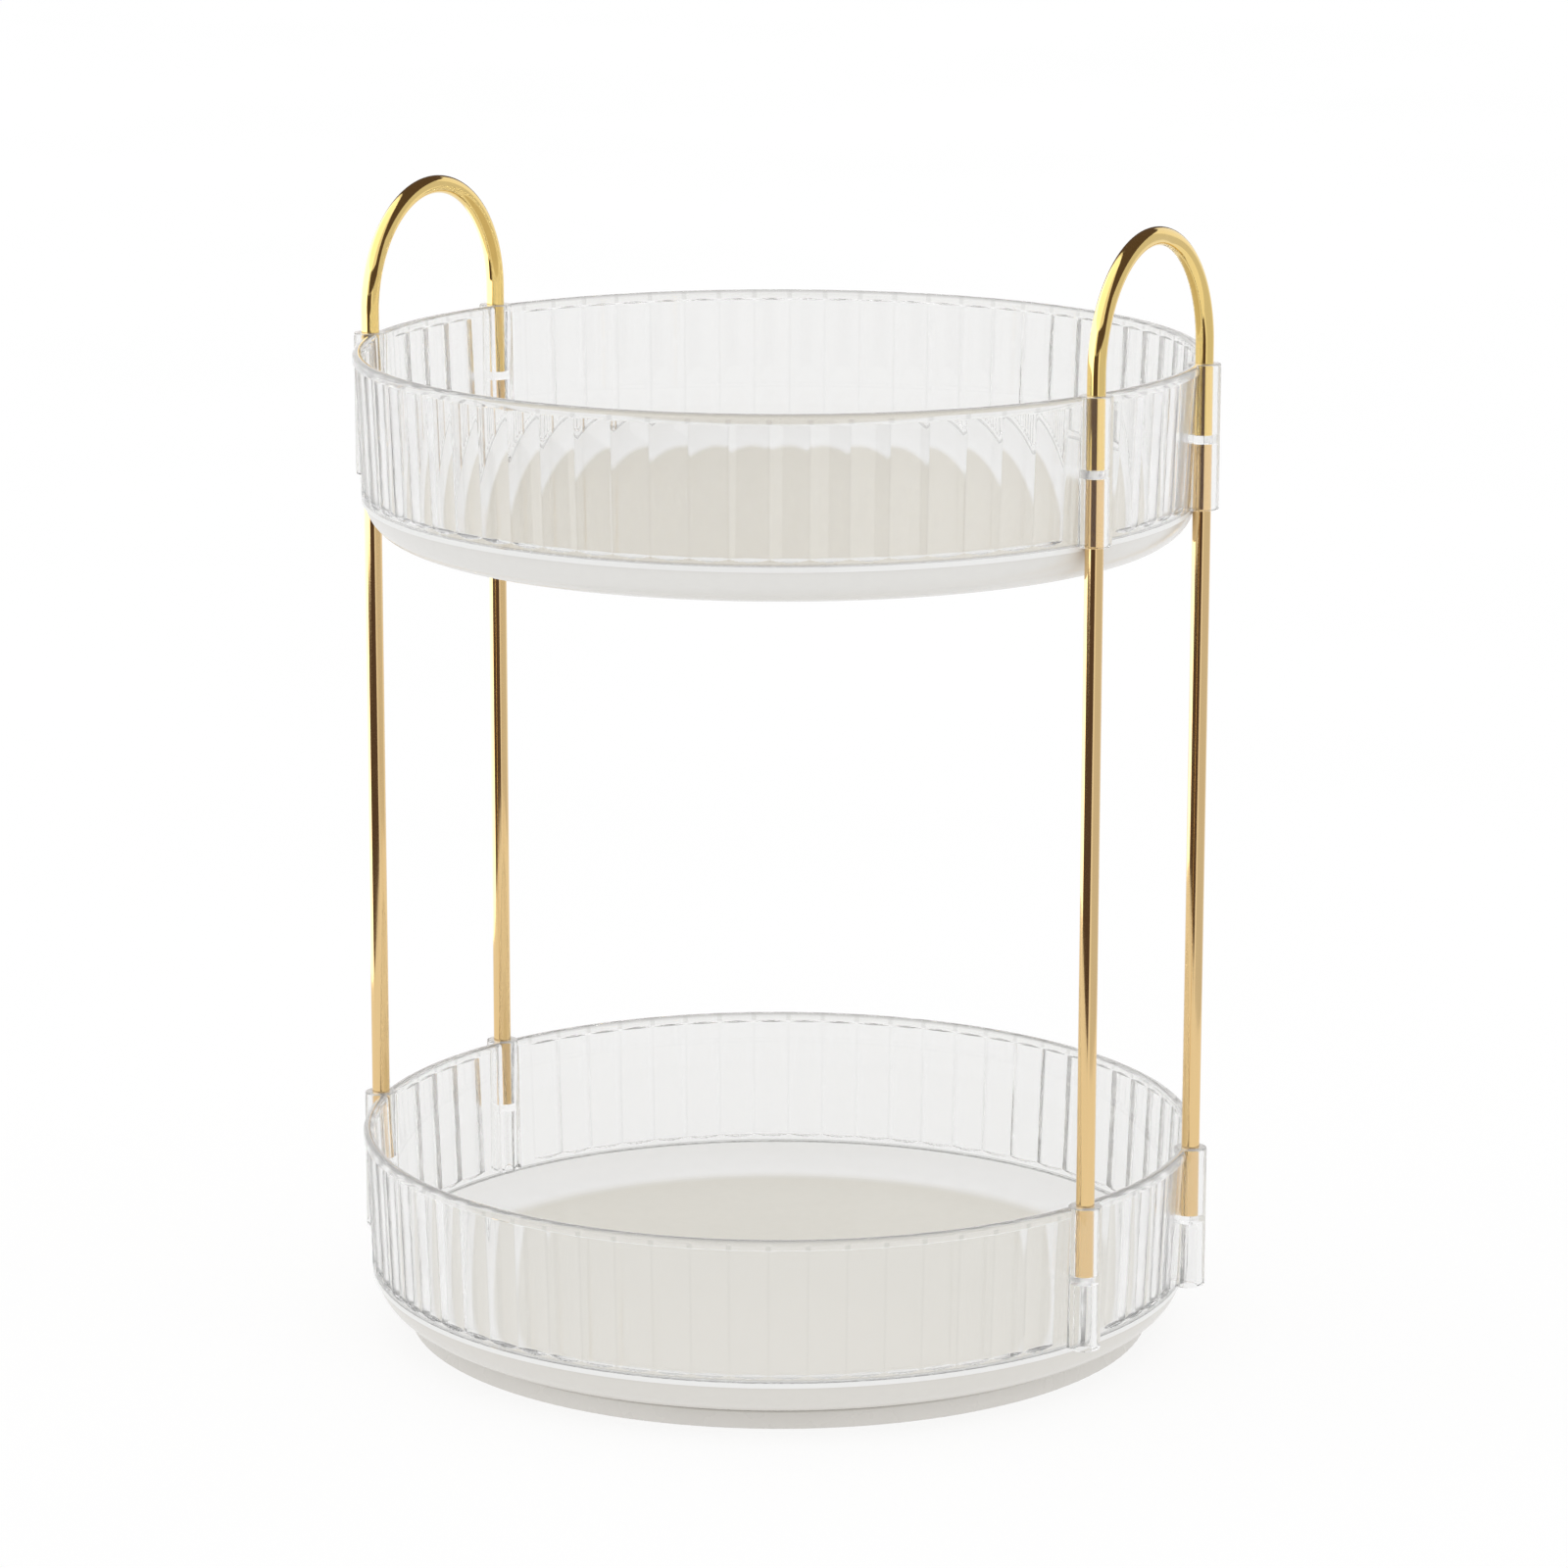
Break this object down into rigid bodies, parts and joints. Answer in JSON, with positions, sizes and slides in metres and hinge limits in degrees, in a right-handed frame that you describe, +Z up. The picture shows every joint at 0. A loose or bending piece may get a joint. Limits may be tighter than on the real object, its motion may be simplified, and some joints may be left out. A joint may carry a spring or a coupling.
{
  "type": "lazy susan turntable",
  "caption": "Round two-tier lazy susan organiser: clear fluted walls on white dishes, joined by gold tube posts, with gold hoop handles and a low base it spins on.",
  "frame": {"origin": "on the floor under the axis of rotation, at the undersides of the foot pads", "axes": "+Z up along the axis of rotation; +X towards the right-hand handle, so the two handles stand at +X and -X; +Y towards the back"},
  "size_m": [0.236, 0.235, 0.3178],
  "materials": {
    "clear_wall": "gloss",
    "white_pan": "gloss",
    "white_base": "satin",
    "gold_tube": "polished",
    "foot_rubber": "matte",
    "bush": "satin",
    "cage": "satin",
    "steel": "polished"
  },
  "bodies": {
    "base": {"base_plate": "white_base", "foot_pad_1": "foot_rubber", "foot_pad_2": "foot_rubber", "foot_pad_3": "foot_rubber", "foot_pad_4": "foot_rubber", "foot_pad_5": "foot_rubber", "foot_pad_6": "foot_rubber", "hub_bush": "bush"},
    "cage": {"ball_cage": "cage", "bearing_balls": "steel"},
    "turntable": {"lower_pan": "white_pan", "lower_wall": "clear_wall", "upper_pan": "white_pan", "upper_wall": "clear_wall", "post_front_left": "gold_tube", "post_back_left": "gold_tube", "post_front_right": "gold_tube", "post_back_right": "gold_tube", "handle_left": "gold_tube", "handle_right": "gold_tube", "pivot_washer": "steel", "pivot_screw": "steel"}
  },
  "joints": [
    {"name": "turntable_spin", "type": "hinge", "parent": "base", "child": "turntable", "pos_m": [0, 0, 0.0052], "axis": [0, 0, 1], "continuous": true},
    {"name": "cage_spin", "type": "hinge", "parent": "base", "child": "cage", "pos_m": [0, 0, 0.0052], "axis": [0, 0, 1], "continuous": true}
  ],
  "couplings": [
    {"joint": "cage_spin", "follows": "turntable_spin", "ratio": 0.5}
  ]
}
